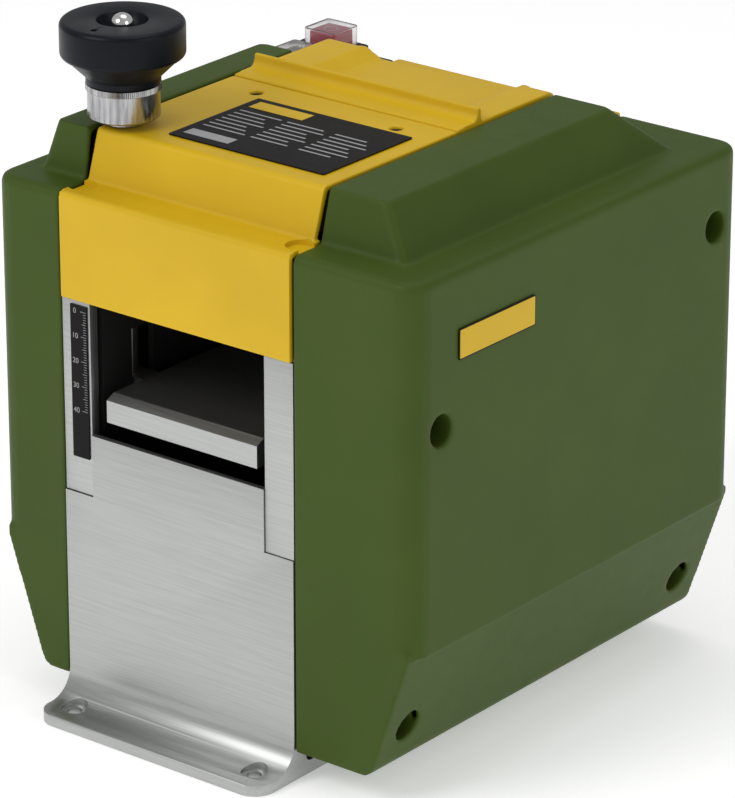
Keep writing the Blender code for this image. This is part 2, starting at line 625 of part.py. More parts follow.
def build_lift(steel, chain_mat):
    """Four lift screws, one at each corner, joined by a chain under the table."""
    wheel, low, high = 0.005, 0.0140, 0.0180
    radius = SCREW_RADIUS
    foot = [(0, TRAY_TOP + GAP), (radius, TRAY_TOP + GAP), (radius, low), (wheel, low),
            (wheel, high), (radius, high)]
    for end, depth in zip(("front", "rear"), SCREW_DEPTHS):
        for hand, side in (("left", -1), ("right", 1)):
            centre = (side * SCREW_X, y_at(depth))
            top = [(radius, 0.226), (0, 0.226)]
            if end == "front" and hand == "left":
                top = [(radius, TOP_Z + 0.0006), (0.0079, TOP_Z + 0.0006), (0.0079, 0.2608),
                       (0.0100, 0.2612), (0.0100, RING_BOTTOM - GAP),
                       (radius, RING_BOTTOM - GAP),
                       (radius, 0.2990), (0.003, 0.2990), (0.003, 0.3025), (0, 0.3025)]
            turned(f"lift_screw_{end}_{hand}", foot + top, "Z", centre, steel, 16,
                   origin=(*centre, 0))
    circles = [(side * SCREW_X, y_at(d), wheel) for side in (-1, 1) for d in SCREW_DEPTHS]
    loop_band("lift_chain", circles, 0.0008, "Z", low + 0.0005, high - 0.0005, chain_mat)


def build_handwheel(wheel_mat, chrome):
    centre = (-SCREW_X, y_at(SCREW_DEPTHS[0]))
    origin = (*centre, 0)
    bore = SCREW_RADIUS + GAP
    top = WHEEL_TOP
    profile = [(bore, RING_BOTTOM), (0.0077, RING_BOTTOM), (0.0077, 0.2780), (0.0160, 0.2780),
               (0.0160, 0.2805), (0.0247, 0.2890), (0.0262, 0.2903), (0.0267, 0.2920),
               (0.0267, 0.3010), (0.0260, 0.3030), (0.0243, 0.3043), (0.0220, top),
               (0.0116, top), (0.0104, 0.3012), (0.0088, 0.2995), (bore, 0.2995)]
    turned("handwheel", profile, "Z", centre, wheel_mat, 28, True, origin)
    base, ball = 0.2998, 0.3026
    nut = [(0, base), (0.0053, base), (0.0053, 0.3020)]
    nut += [(0.0050 * math.cos(a), ball + 0.0050 * math.sin(a)) for a in (0.1, 0.4, 0.8, 1.2)]
    nut += [(0, ball + 0.0050)]
    dome = turned("dome_nut", nut, "Z", centre, chrome, 20, origin=origin)
    combine(dome, rods("cut_nut_thread", [centre], "Z", 0.0033, base - 0.001, ball + 0.001))
    knurl = 0.0162
    ring = [(0.0080, RING_BOTTOM + GAP), (0.0151, RING_BOTTOM + GAP), (0.0155, 0.2631),
            (0.0155, 0.2746), (knurl, 0.2749), (knurl, 0.2774), (0.0158, 0.2777),
            (0.0080, 0.2777)]
    turned("scale_ring", ring, "Z", centre, chrome, 24, True, origin)


# ---- switch and small fittings ------------------------------------------------------
def build_switch(black, red, green):
    low, top = SHOULDER_Z + GAP, 0.247
    outline = fillet(rectangle(-0.0945, -0.0645, y_at(0.1655), y_at(0.2125), 0.002), 2)
    housing = prism("switch_housing", outline, "Z", low, top, black)
    for name, depth, height, mat in (("red_button", RED_DEPTH, 0.2545, red),
                                     ("green_button", GREEN_DEPTH, 0.2505, green)):
        half = BUTTON_HALF + GAP
        y = y_at(depth)
        well = block(f"cut_{name}_well", (SWITCH_X - half, SWITCH_X + half), (y - half, y + half),
                     (0.2385, 0.26), None)
        combine(housing, well)
        outline = fillet(rectangle(SWITCH_X - BUTTON_HALF, SWITCH_X + BUTTON_HALF,
                                   y - BUTTON_HALF, y + BUTTON_HALF, 0.001), 2)
        prism(name, outline, "Z", 0.2420, height, mat, (SWITCH_X, y, 0))


def build_plates(label, scale, badge):
    plan = fillet(rectangle(-0.0308, 0.0527, y_at(0.0337), y_at(0.0930), 0.0004), 1)
    prism("rating_plate", plan, "Z", TOP_Z + GAP, TOP_Z + 0.0008, label)
    face = y_at(POST_FACE)
    block("thickness_scale", (-0.0578, -0.0486), (face - 0.0008, face - GAP), (0.118, 0.1875),
          scale)
    side = fillet(rectangle(y_at(0.0283), y_at(0.0800), 0.1976, 0.2111, 0.0006), 1)
    prism("side_badge", side, "X", RIGHT_OUT + GAP, RIGHT_OUT + 0.0008, badge)


def build_top_screws(mat):
    for hand, side in (("left", -1), ("right", 1)):
        centre = (side * 0.0383, y_at(0.1003))
        profile = [(0.0012, 0.250), (0.0012, 0.2565), (0.0028, 0.2575), (0.0028, 0.2586)]
        turned(f"top_screw_{hand}", profile, "Z", centre, mat, 14)


def build_gland(mat):
    face = HALF_DEPTH + GAP
    profile = [(0.0085, face), (0.0085, face + 0.004), (0.0062, face + 0.004),
               (0.0055, face + 0.013), (0.0030, face + 0.013), (0.0030, face)]
    turned("cable_gland", profile, "Y", (-0.0755, 0.056), mat, 18, True)


def main():
    for obj in list(bpy.data.objects):
        bpy.data.objects.remove(obj, do_unlink=True)

    aluminium = material("aluminium", (0.46, 0.48, 0.46), 0.38, 1.0)
    black_steel = material("black_steel", (0.018, 0.016, 0.016), 0.5, 0.3)
    steel = material("steel", (0.42, 0.42, 0.41), 0.32, 1.0)
    chrome = material("chrome", (0.75, 0.75, 0.75), 0.10, 1.0)
    green = material("green_plastic", (0.070, 0.112, 0.026), 0.48)
    yellow = material("yellow_plastic", (0.68, 0.42, 0.020), 0.45)
    black = material("black_plastic", (0.022, 0.024, 0.030), 0.42)
    rubber = material("rubber", (0.020, 0.020, 0.020), 0.75)
    red = material("red_plastic", (0.52, 0.015, 0.055), 0.35)
    grey_green = material("grey_plastic", (0.22, 0.20, 0.14), 0.45)
    label = material("label_foil", (0.028, 0.024, 0.028), 0.40)

    build_base(aluminium)
    build_posts(aluminium)
    build_side_plates(black_steel)
    build_head_plate(black_steel)
    build_front_top_cover(yellow)
    build_rear_hood(yellow)

    right_hump = {"top": 0.0935, "base": 0.108, "front": (0.0175, 0.0240),
                  "rear": (0.2060, 0.1780)}
    left_hump = {"top": 0.0815, "base": 0.089, "front": (0.0175, 0.0200),
                 "rear": (0.1640, 0.1560)}
    for hand, side, outer, hump in (("right", 1, RIGHT_OUT, right_hump),
                                    ("left", -1, LEFT_OUT, left_hump)):
        floor = build_side_cover(f"{hand}_cover", side, outer, hump, green)
        build_cover_screws(hand, side, floor, black_steel)

    cutter_origin = (0, y_at(CUTTER_DEPTH), CUTTER_Z)
    motor_origin = (0, y_at(CUTTER_DEPTH), MOTOR_Z)
    build_cutter(steel, chrome, steel, black_steel, cutter_origin)
    build_motor(black_steel, steel, steel, rubber, motor_origin)
    build_feed_roller("infeed", INFEED_DEPTH, rubber, steel, steel)
    build_feed_roller("outfeed", OUTFEED_DEPTH, rubber, steel, steel)
    build_reducer(black_steel, steel, steel)

    build_table(aluminium)
    build_lift(steel, steel)
    build_handwheel(black, chrome)
    build_switch(black, red, grey_green)
    build_plates(label, label, yellow)
    build_top_screws(steel)
    build_gland(rubber)


main()
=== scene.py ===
"""Looks of a bench-top thickness planer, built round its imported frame. Metres, +Z up."""
import json
import math

import bmesh
import bpy
from mathutils import Matrix, Vector


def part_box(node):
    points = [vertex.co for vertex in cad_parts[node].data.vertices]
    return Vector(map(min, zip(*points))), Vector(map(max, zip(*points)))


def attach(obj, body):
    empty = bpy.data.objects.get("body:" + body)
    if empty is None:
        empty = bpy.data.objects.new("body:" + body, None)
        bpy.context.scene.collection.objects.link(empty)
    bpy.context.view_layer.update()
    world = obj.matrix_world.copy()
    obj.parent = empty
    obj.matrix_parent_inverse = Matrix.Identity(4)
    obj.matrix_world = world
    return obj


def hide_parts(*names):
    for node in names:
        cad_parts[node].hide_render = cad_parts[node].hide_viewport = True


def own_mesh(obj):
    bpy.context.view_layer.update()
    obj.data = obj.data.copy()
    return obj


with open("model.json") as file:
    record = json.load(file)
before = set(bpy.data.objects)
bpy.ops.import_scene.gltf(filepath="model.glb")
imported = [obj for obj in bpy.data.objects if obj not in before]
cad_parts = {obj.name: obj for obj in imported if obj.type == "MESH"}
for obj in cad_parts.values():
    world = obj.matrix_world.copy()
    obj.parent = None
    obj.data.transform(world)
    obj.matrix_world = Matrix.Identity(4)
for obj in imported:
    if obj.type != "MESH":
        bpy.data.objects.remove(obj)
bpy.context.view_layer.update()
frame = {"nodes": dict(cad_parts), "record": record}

# ---- driving sizes, the same as the frame's -----------------------------------------
HALF_DEPTH = 0.115
HALF_FRONT = 0.063
GAP = 0.0003
FOOT_REACH, FOOT_THICK, FOOT_FILLET, FOOT_CORNER = 0.024, 0.0049, 0.013, 0.010
FOOT_HOLE_X, FOOT_HOLE_INSET = 0.0505, 0.0115
FOOT_HOLE, FOOT_SEAT, FOOT_SEAT_Z = 0.0033, 0.0058, 0.0036   # two radii, counterbore floor
BASE_WALL, SILL_THICK, SILL_STEP_Z = 0.008, 0.0028, 0.112
TRAY_TOP, NOTCH_Z, SILL_Z, SILL_HALF = 0.006, 0.101, 0.1294, 0.0473
LEDGE_Z = 0.237
WHEEL_AXIS = (-0.0555, -0.081)
WHEEL_TOP, RING_BOTTOM = 0.305, 0.2624
DIMPLE = (0.0015, -0.0197)      # knob dimple, from the wheel's axis
TEN_MARKS = 0.0113              # height of ten marks on the thickness scale
FINE, COARSE = 96, 48           # segments round a turned piece, and round a rod or hole
CREASE, BEVELLED_CREASE = math.radians(35), math.radians(40)   # sharper edges stay crisp

# ---- colours, linear ----------------------------------------------------------------
GREEN = (0.052, 0.087, 0.011)
YELLOW = (0.680, 0.435, 0.008)
ALUMINIUM = (0.47, 0.48, 0.47)
STEEL = (0.42, 0.42, 0.41)
CHROME = (0.78, 0.78, 0.77)
RING = (0.47, 0.47, 0.48)
INK = (0.006, 0.005, 0.005)
PRINT = (0.34, 0.34, 0.35)


def y_at(depth):
    """World Y of a place given by its distance behind the front face."""
    return depth - HALF_DEPTH


# ---- materials ----------------------------------------------------------------------
class Surface:
    """A Principled material with its textures placed in the object's own metres."""

    def __init__(self, name, metallic=0.0):
        self.mat = bpy.data.materials.new(name)
        self.mat.use_nodes = True
        self.tree = self.mat.node_tree
        self.shader = self.tree.nodes["Principled BSDF"]
        self.shader.inputs["Metallic"].default_value = metallic
        self.place = self.tree.nodes.new("ShaderNodeTexCoord").outputs["Object"]

    def join(self, source, target):
        self.tree.links.new(source, target)

    def noise(self, scale, detail=3.0, stretch=(1.0, 1.0, 1.0)):
        mapping = self.tree.nodes.new("ShaderNodeMapping")
        mapping.inputs["Scale"].default_value = stretch
        self.join(self.place, mapping.inputs["Vector"])
        node = self.tree.nodes.new("ShaderNodeTexNoise")
        node.inputs["Scale"].default_value = scale
        node.inputs["Detail"].default_value = detail
        self.join(mapping.outputs["Vector"], node.inputs["Vector"])
        return node.outputs["Fac"]

    def colour(self, factor, dark, light):
        ramp = self.tree.nodes.new("ShaderNodeValToRGB")
        ramp.color_ramp.elements[0].position = 0.3
        ramp.color_ramp.elements[1].position = 0.7
        ramp.color_ramp.elements[0].color = (*dark, 1.0)
        ramp.color_ramp.elements[1].color = (*light, 1.0)
        self.join(factor, ramp.inputs["Fac"])
        self.join(ramp.outputs["Color"], self.shader.inputs["Base Color"])

    def roughness(self, factor, low, high):
        spread = self.tree.nodes.new("ShaderNodeMapRange")
        spread.inputs["To Min"].default_value = low
        spread.inputs["To Max"].default_value = high
        self.join(factor, spread.inputs["Value"])
        self.join(spread.outputs["Result"], self.shader.inputs["Roughness"])

    def bump(self, factor, strength, distance):
        node = self.tree.nodes.new("ShaderNodeBump")
        node.inputs["Strength"].default_value = strength
        node.inputs["Distance"].default_value = distance
        self.join(factor, node.inputs["Height"])
        self.join(node.outputs["Normal"], self.shader.inputs["Normal"])


def shade(colour, amount):
    return tuple(min(1.0, c * amount) for c in colour)


def moulded_plastic(name, colour, rough, grain=1500.0, relief=0.00010, gloss=0.28):
    """Injection-moulded plastic: spark-eroded grain and a slight cloudiness."""
    surface = Surface(name)
    surface.shader.inputs["Specular IOR Level"].default_value = gloss
    surface.colour(surface.noise(22.0), shade(colour, 0.94), shade(colour, 1.05))
    surface.roughness(surface.noise(160.0), rough - 0.05, rough + 0.06)
    surface.bump(surface.noise(grain, 2.0), 0.35, relief)
    return surface.mat


def worked_metal(name, colour, rough, stretch, relief=0.00004, dark=0.90):
    """Metal with fine tool marks that run along the axes with the smallest stretch. With a low dark
    share, as on the graduated ring, the streaks are also painted streak reflections.
    """
    surface = Surface(name, 1.0)
    tool_marks_and_painted_streaks = surface.noise(60.0, 5.0, stretch)
    surface.colour(tool_marks_and_painted_streaks, shade(colour, dark), shade(colour, 1.08))
    surface.roughness(tool_marks_and_painted_streaks, rough - 0.07, rough + 0.10)
    surface.bump(tool_marks_and_painted_streaks, 0.30, relief)
    return surface.mat


def clear_plastic():
    """Soft clear boot over a push button."""
    surface = Surface("clear_boot")
    surface.colour(surface.noise(90.0), (0.95, 0.94, 0.94), (0.99, 0.98, 0.98))
    surface.roughness(surface.noise(300.0), 0.04, 0.10)
    surface.shader.inputs["Transmission Weight"].default_value = 0.97
    surface.shader.inputs["IOR"].default_value = 1.42
    return surface.mat


def build_materials():
    return {
        "aluminium_body": worked_metal("brushed_aluminium", ALUMINIUM, 0.40, (0.6, 26, 26)),
        "black_steel": moulded_plastic("black_paint", (0.016, 0.015, 0.015), 0.50, 900.0),
        "steel": worked_metal("turned_steel", STEEL, 0.34, (24, 1, 1)),
        "polished_steel": worked_metal("polished_steel", CHROME, 0.13, (10, 10, 1), 0.00001),
        # graduated ring: dark share 0.50 gives high-contrast vertical streaks, partly turning marks
        # and partly painted streak reflections
        "ring_steel_with_painted_streaks": worked_metal("ring_steel_with_painted_streaks", RING, 0.22, (10, 10, 1), 0.00001, 0.50),
        "green_plastic": moulded_plastic("green_moulding", GREEN, 0.47, gloss=0.16),
        "yellow_plastic": moulded_plastic("yellow_moulding", YELLOW, 0.42),
        "black_plastic": moulded_plastic("black_moulding", (0.004, 0.006, 0.010), 0.36, 1100.0,
                                         gloss=0.15),
        "red_plastic": moulded_plastic("red_moulding", (0.48, 0.020, 0.060), 0.28, 700.0),
        "grey_plastic": moulded_plastic("grey_green_moulding", (0.19, 0.20, 0.13), 0.34, 700.0),
        "rubber": moulded_plastic("rubber", (0.018, 0.018, 0.018), 0.72, 1300.0, 0.0002),
        "label": moulded_plastic("printed_foil", INK, 0.46, 2200.0, 0.00003, 0.12),
        "print": moulded_plastic("grey_print", PRINT, 0.40, 2200.0, 0.00002),
        "clear": clear_plastic(),
    }


# ---- shape helpers ------------------------------------------------------------------
def finish_mesh(name, bm, mat):
    bmesh.ops.remove_doubles(bm, verts=bm.verts, dist=1e-7)
    bmesh.ops.recalc_face_normals(bm, faces=bm.faces)
    mesh = bpy.data.meshes.new(name)
    bm.to_mesh(mesh)
    bm.free()
    mesh.shade_smooth()
    mesh.set_sharp_from_angle(angle=CREASE)
    obj = bpy.data.objects.new(name, mesh)
    if mat is not None:
        mesh.materials.append(mat)
    bpy.context.scene.collection.objects.link(obj)
    return obj


def fillet(corners, segments=14):
    """Outline points from (u, v, radius) corners, each radius drawn as an arc."""
    points = []
    count = len(corners)
    for i, (u, v, radius) in enumerate(corners):
        here = Vector((u, v))
        if radius <= 0:
            points.append(tuple(here))
            continue
        back = (Vector(corners[i - 1][:2]) - here).normalized()
        ahead = (Vector(corners[(i + 1) % count][:2]) - here).normalized()
        half = back.angle(ahead) / 2
        centre = here + (back + ahead).normalized() * (radius / math.sin(half))
        start = here + back * (radius / math.tan(half)) - centre
        end = here + ahead * (radius / math.tan(half)) - centre
        sweep = start.angle_signed(end)
        for k in range(segments + 1):
            turn = Matrix.Rotation(-sweep * k / segments, 2)
            points.append(tuple(centre + turn @ start))
    return points


def rectangle(u0, u1, v0, v1, radius=0.0):
    return [(u0, v0, radius), (u1, v0, radius), (u1, v1, radius), (u0, v1, radius)]


def add_prism(bm, outline, axis, low, high):
    at = {"X": lambda u, v, t: (t, u, v), "Y": lambda u, v, t: (u, t, v),
          "Z": lambda u, v, t: (u, v, t)}[axis]
    ends = [[bm.verts.new(at(u, v, t)) for u, v in outline] for t in (low, high)]
    for ring in ends:
        bm.faces.new(ring)
    count = len(outline)
    for i in range(count):
        j = (i + 1) % count
        bm.faces.new((ends[0][i], ends[0][j], ends[1][j], ends[1][i]))


def prism(name, outline, axis, low, high, mat):
    bm = bmesh.new()
    add_prism(bm, outline, axis, low, high)
    return finish_mesh(name, bm, mat)


def turned(name, profile, centre, mat, segments=FINE, ring=True, ripple=None):
    """Turned about a vertical axis. ripple(radius, z, angle) may change a point's radius."""
    bm = bmesh.new()
    loops = []
    for radius, z in profile:
        loop = []
        for k in range(segments if radius > 0 else 1):
            a = 2 * math.pi * k / segments
            r = ripple(radius, z, a) if ripple else radius
            loop.append(bm.verts.new((centre[0] + r * math.cos(a), centre[1] + r * math.sin(a), z)))
        loops.append(loop)
    pairs = list(zip(loops, loops[1:]))
    if ring:
        pairs.append((loops[-1], loops[0]))
    for a, b in pairs:
        for k in range(segments):
            m = (k + 1) % segments
            quad = [a[k % len(a)], a[m % len(a)], b[m % len(b)], b[k % len(b)]]
            bm.faces.new(list(dict.fromkeys(quad)))
    if not ring:
        for loop in (loops[0], loops[-1]):
            if len(loop) > 1:
                bm.faces.new(loop)
    return finish_mesh(name, bm, mat)


def rods(name, places, radius, low, high):
    """Upright rods in one tool object."""
    bm = bmesh.new()
    turns = [2 * math.pi * k / COARSE for k in range(COARSE)]
    circle = [(math.cos(a), math.sin(a)) for a in turns]
    for x, y in places:
        add_prism(bm, [(x + radius * c, y + radius * s) for c, s in circle], "Z", low, high)
    return finish_mesh(name, bm, None)


def settle(obj, tools=()):
    """Replaces the object's mesh with what its modifiers make, and drops the tools."""
    graph = bpy.context.evaluated_depsgraph_get()
    mesh = bpy.data.meshes.new_from_object(obj.evaluated_get(graph))
    obj.modifiers.clear()
    obj.data = mesh
    for tool in tools:
        bpy.data.objects.remove(tool)


def combine(obj, tool, operation="DIFFERENCE"):
    modifier = obj.modifiers.new(tool.name, "BOOLEAN")
    modifier.operation = operation
    modifier.object = tool
    modifier.solver = "EXACT"
    settle(obj, [tool])


def soften(obj, width, segments=3, angle=32.0):
    """Rounds the edges that are sharper than the angle."""
    modifier = obj.modifiers.new("edges", "BEVEL")
    modifier.width = width
    modifier.segments = segments
    modifier.limit_method = "ANGLE"
    modifier.angle_limit = math.radians(angle)
    modifier.use_clamp_overlap = True
    settle(obj)
    obj.data.shade_smooth()
    obj.data.set_sharp_from_angle(angle=BEVELLED_CREASE)
    return obj


def copy_node(node, name):
    """A new object with the same solid as a CAD node, in flat faces."""
    bm = bmesh.new()
    bm.from_mesh(frame["nodes"][node].data)
    bmesh.ops.remove_doubles(bm, verts=bm.verts, dist=1e-6)
    bmesh.ops.dissolve_limit(bm, angle_limit=math.radians(0.5), verts=bm.verts, edges=bm.edges)
    return finish_mesh(name, bm, None)


def moulded(obj, mat, voxel, rounds):
    """Turns a sharp solid into a moulding: every edge and inner corner gets a small radius."""
    remesh = obj.modifiers.new("skin", "REMESH")
    remesh.mode = "VOXEL"
    remesh.voxel_size = voxel
    smooth = obj.modifiers.new("radius", "SMOOTH")
    smooth.factor = 0.5
    smooth.iterations = rounds
    thin = obj.modifiers.new("thin", "DECIMATE")
    thin.ratio = 0.22
    settle(obj)
    obj.data.materials.clear()
    obj.data.materials.append(mat)
    obj.data.shade_smooth()


def plan_middle(low, high):
    return (low.x + high.x) / 2, (low.y + high.y) / 2


def stand_for(obj, node, body):
    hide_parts(node)
    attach(obj, body)


def add_on(obj, body):
    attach(obj, body)


# ---- aluminium ----------------------------------------------------------------------
def build_base(mats):
    front, rear = y_at(0), y_at(2 * HALF_DEPTH)
    outline = fillet([
        (front - FOOT_REACH, 0, 0), (rear + FOOT_REACH, 0, 0),
        (rear + FOOT_REACH, FOOT_THICK, 0.001), (rear, FOOT_THICK, FOOT_FILLET),
        (rear, SILL_Z, 0), (rear - SILL_THICK, SILL_Z, 0),
        (rear - SILL_THICK, SILL_STEP_Z, 0), (rear - BASE_WALL, SILL_STEP_Z, 0),
        (rear - BASE_WALL, TRAY_TOP, 0.003), (front + BASE_WALL, TRAY_TOP, 0.003),
        (front + BASE_WALL, SILL_STEP_Z, 0), (front + SILL_THICK, SILL_STEP_Z, 0),
        (front + SILL_THICK, SILL_Z, 0), (front, SILL_Z, 0),
        (front, FOOT_THICK, FOOT_FILLET), (front - FOOT_REACH, FOOT_THICK, 0.001)])
    base = prism("base_casting", outline, "X", -HALF_FRONT, HALF_FRONT, mats["aluminium_body"])
    reach = HALF_DEPTH + FOOT_REACH
    plan = fillet(rectangle(-HALF_FRONT, HALF_FRONT, -reach, reach, FOOT_CORNER))
    combine(base, prism("trim", plan, "Z", -0.001, 0.2, None), "INTERSECT")
    for side in (-1, 1):
        xs = sorted((side * SILL_HALF, side * 0.07))
        notch = rectangle(*xs, -0.2, 0.2)
        combine(base, prism("notch", [p[:2] for p in notch], "Z", NOTCH_Z, 0.2, None))
    hole_y = HALF_DEPTH + FOOT_HOLE_INSET
    places = [(sx * FOOT_HOLE_X, sy * hole_y) for sx in (-1, 1) for sy in (-1, 1)]
    combine(base, rods("foot_holes", places, FOOT_HOLE, -0.001, 0.03))
    combine(base, rods("foot_seats", places, FOOT_SEAT, FOOT_SEAT_Z, 0.03))
    soften(base, 0.00035, 2)
    stand_for(base, "base_frame", "chassis")


def build_posts(mats):
    for end in ("front", "rear"):
        for hand in ("left", "right"):
            post = copy_node(f"post_{end}_{hand}", f"corner_post_{end}_{hand}")
            post.data.materials.append(mats["aluminium_body"])
            soften(post, 0.0003, 2)
            stand_for(post, f"post_{end}_{hand}", "chassis")


# ---- mouldings ----------------------------------------------------------------------
def build_mouldings(mats):
    for hand in ("left", "right"):
        cover = copy_node(f"{hand}_cover", f"{hand}_side_moulding")
        moulded(cover, mats["green_plastic"], 0.0010, 6)
        stand_for(cover, f"{hand}_cover", "chassis")

    front = copy_node("front_top_cover", "front_moulding")
    moulded(front, mats["yellow_plastic"], 0.0006, 6)
    well_x, well_inset, well_radius, well_depth = 0.0590, 0.0105, 0.0062, 0.0020
    wells = [(side * well_x, y_at(well_inset)) for side in (-1, 1)]
    combine(front, rods("ledge_wells", wells, well_radius, LEDGE_Z - well_depth,
                        LEDGE_Z + 0.010))
    front.data.shade_smooth()
    front.data.set_sharp_from_angle(angle=BEVELLED_CREASE)
    stand_for(front, "front_top_cover", "chassis")

    hood = copy_node("rear_hood", "rear_moulding")
    moulded(hood, mats["yellow_plastic"], 0.0006, 7)
    stand_for(hood, "rear_hood", "chassis")


# ---- handwheel ----------------------------------------------------------------------
def arc(centre_r, centre_z, radius, start, end, steps):
    """Profile points (radius, z) on an arc, angles in degrees from outwards."""
    points = []
    for k in range(steps + 1):
        a = math.radians(start + (end - start) * k / steps)
        points.append((centre_r + radius * math.cos(a), centre_z + radius * math.sin(a)))
    return points


def build_handwheel(mats):
    bore, neck, hub, hub_low, hub_high = 0.0043, 0.0077, 0.0160, 0.2780, 0.2805
    rim, edge = 0.0243, 0.0024                  # where the rim's edge arcs centre, their radius
    dish_z = 0.2995                             # floor of the dish round the nut
    profile = [(bore, RING_BOTTOM), (neck, RING_BOTTOM), (neck, hub_low), (hub, hub_low)]
    profile += [(hub, hub_high), (0.0244, 0.2888)]
    profile += arc(rim, 0.2913, edge, -60, 0, 6)
    profile += arc(rim, 0.3026, edge, 0, 90, 10)
    profile += [(0.0118, WHEEL_TOP)]
    profile += [(0.0110, 0.3046), (0.0104, 0.3012), (0.0088, dish_z), (bore, dish_z)]
    wheel = turned("knob", profile, WHEEL_AXIS, mats["black_plastic"])
    dimple = (WHEEL_AXIS[0] + DIMPLE[0], WHEEL_AXIS[1] + DIMPLE[1])
    dimple_radius, dimple_depth = 0.0014, 0.003
    combine(wheel, rods("dimple", [dimple], dimple_radius, WHEEL_TOP - dimple_depth,
                        WHEEL_TOP + 0.01))
    soften(wheel, 0.0002, 2, 50.0)
    stand_for(wheel, "handwheel", "lift_drive")

    base, ball, ball_radius, bore, skirt = 0.2998, 0.3026, 0.0050, 0.0033, 0.0053
    nut = [(0, ball + 0.0010), (bore, ball + 0.0010), (bore, base), (0.0051, base),
           (skirt, base + 0.0003), (skirt, 0.3018)]
    nut += arc(0, ball, ball_radius, 6, 90, 16)[:-1] + [(0, ball + ball_radius)]
    dome = turned("acorn_nut", nut, WHEEL_AXIS, mats["polished_steel"], 64, ring=False)
    stand_for(dome, "dome_nut", "lift_drive")


def build_scale_ring(mats):
    bore, plain, proud = 0.0080, 0.0155, 0.0160
    knurl_low, knurl_high, teeth, tooth = 0.2748, 0.2776, 110, 0.00020

    def ripple(radius, z, angle):
        on_knurl = knurl_low < z < knurl_high and radius > 0.0150
        return radius + (tooth * math.cos(teeth * angle) if on_knurl else 0)

    ring = [(bore, RING_BOTTOM + GAP), (0.0150, RING_BOTTOM + GAP), (0.0154, 0.2631),
            (plain, 0.2636), (plain, knurl_low - 0.0002), (proud, knurl_low + 0.0001),
            (proud, knurl_high - 0.0002), (0.0157, knurl_high), (bore, knurl_high)]
    obj = turned("graduated_ring", ring, WHEEL_AXIS, mats["ring_steel_with_painted_streaks"], teeth * 4,
                 ripple=ripple)
    stand_for(obj, "scale_ring", "scale_ring")

    bm = bmesh.new()
    count, low, line_radius, line_depth, line_width = 40, 0.2637, 0.01552, 0.00010, 0.00014
    for k in range(count):
        height = 0.0024 if k % 5 == 0 else 0.0014
        turn = Matrix.Rotation(2 * math.pi * k / count, 4, "Z")
        move = Matrix.Translation((*WHEEL_AXIS, low + height / 2))
        out = Matrix.Translation((line_radius, 0, 0))
        size = Matrix.Diagonal((line_depth, line_width, height, 1.0))
        bmesh.ops.create_cube(bm, size=1.0, matrix=move @ turn @ out @ size)
    add_on(finish_mesh("ring_graduations", bm, mats["print"]), "scale_ring")


# ---- switch -------------------------------------------------------------------------
def build_switch(mats):
    housing = copy_node("switch_housing", "switch_bezel")
    housing.data.materials.append(mats["black_plastic"])
    soften(housing, 0.0006, 3)
    stand_for(housing, "switch_housing", "chassis")
    top_of_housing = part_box("switch_housing")[1].z
    for node, boot_top, slot in (("red_button", 0.2562, "red_plastic"),
                                 ("green_button", 0.2522, "grey_plastic")):
        low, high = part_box(node)
        button = copy_node(node, f"{node}_cap")
        button.data.materials.append(mats[slot])
        soften(button, 0.0005, 3)
        stand_for(button, node, node)
        x, y = plan_middle(low, high)
        mark = rectangle(0.0026, 0.0034, high.z - 0.0002, high.z + 0.0001)
        symbol = turned(f"{node}_mark", [corner[:2] for corner in mark], (x, y),
                        mats["print"], COARSE)
        add_on(symbol, node)
        boot = boot_over(f"{node}_boot", x, y, top_of_housing, boot_top, mats["clear"])
        add_on(boot, "chassis")


def build_top_screws(mats):
    """Blackened heads with a cross recess, a little below the cover's surface."""
    for hand in ("left", "right"):
        node = f"top_screw_{hand}"
        low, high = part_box(node)
        x, y = plan_middle(low, high)
        sunk, arm, half_slot = 0.0009, 0.0016, 0.00035
        top = high.z - sunk
        profile = [(0, low.z), (0.0012, low.z), (0.0012, top - 0.0012), (0.0026, top - 0.0004),
                   (0.0027, top - 0.0001), (0.0024, top), (0, top)]
        head = turned(f"{node}_head", profile, (x, y), mats["black_steel"], 40, ring=False)
        for dx, dy in ((arm, half_slot), (half_slot, arm)):
            slot = [corner[:2] for corner in rectangle(x - dx, x + dx, y - dy, y + dy)]
            combine(head, prism("recess", slot, "Z", top - 0.0006, top + 0.001, None))
        stand_for(head, node, "chassis")


def boot_over(name, x, y, low, top, mat):
    """Thin clear cap, open below, that the button works under."""
    half, wall = 0.0088, 0.0006
    outer = fillet(rectangle(x - half, x + half, y - half, y + half, 0.0016), 6)
    inner_half = half - wall
    inner = fillet(rectangle(x - inner_half, x + inner_half, y - inner_half, y + inner_half,
                             0.0011), 6)
    boot = prism(name, outer, "Z", low + GAP, top, mat)
    combine(boot, prism("boot_room", inner, "Z", low - 0.001, top - wall, None))
    return soften(boot, 0.0004, 3)


# ---- feed springs -------------------------------------------------------------------
def build_springs(mats):
    """Coils above the feed rollers, built in the place of the spring nodes."""
    wire, turns, steps, sides, travel = 0.0007, 4, 128, 10, 0.002
    for end in ("infeed", "outfeed"):
        low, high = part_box(f"{end}_spring")
        x, y = plan_middle(low, high)
        radius = (high.x - low.x) / 2 - wire
        rise = high.z - low.z - 2 * wire
        bm = bmesh.new()
        rings = []
        for k in range(steps + 1):
            a = 2 * math.pi * turns * k / steps
            out = Vector((math.cos(a), math.sin(a), 0))
            middle = Vector((x, y, low.z + wire + rise * k / steps)) + radius * out
            ring = []
            for m in range(sides):
                b = 2 * math.pi * m / sides
                ring.append(bm.verts.new(middle + wire * (math.cos(b) * out
                                                          + math.sin(b) * Vector((0, 0, 1)))))
            rings.append(ring)
        for a, b in zip(rings, rings[1:]):
            for m in range(sides):
                n = (m + 1) % sides
                bm.faces.new((a[m], a[n], b[n], b[m]))
        bm.faces.new(rings[0])
        bm.faces.new(rings[-1])
        coil = finish_mesh(f"{end}_coil", bm, mats["steel"])
        stand_for(coil, f"{end}_spring", "chassis")
        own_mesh(coil)


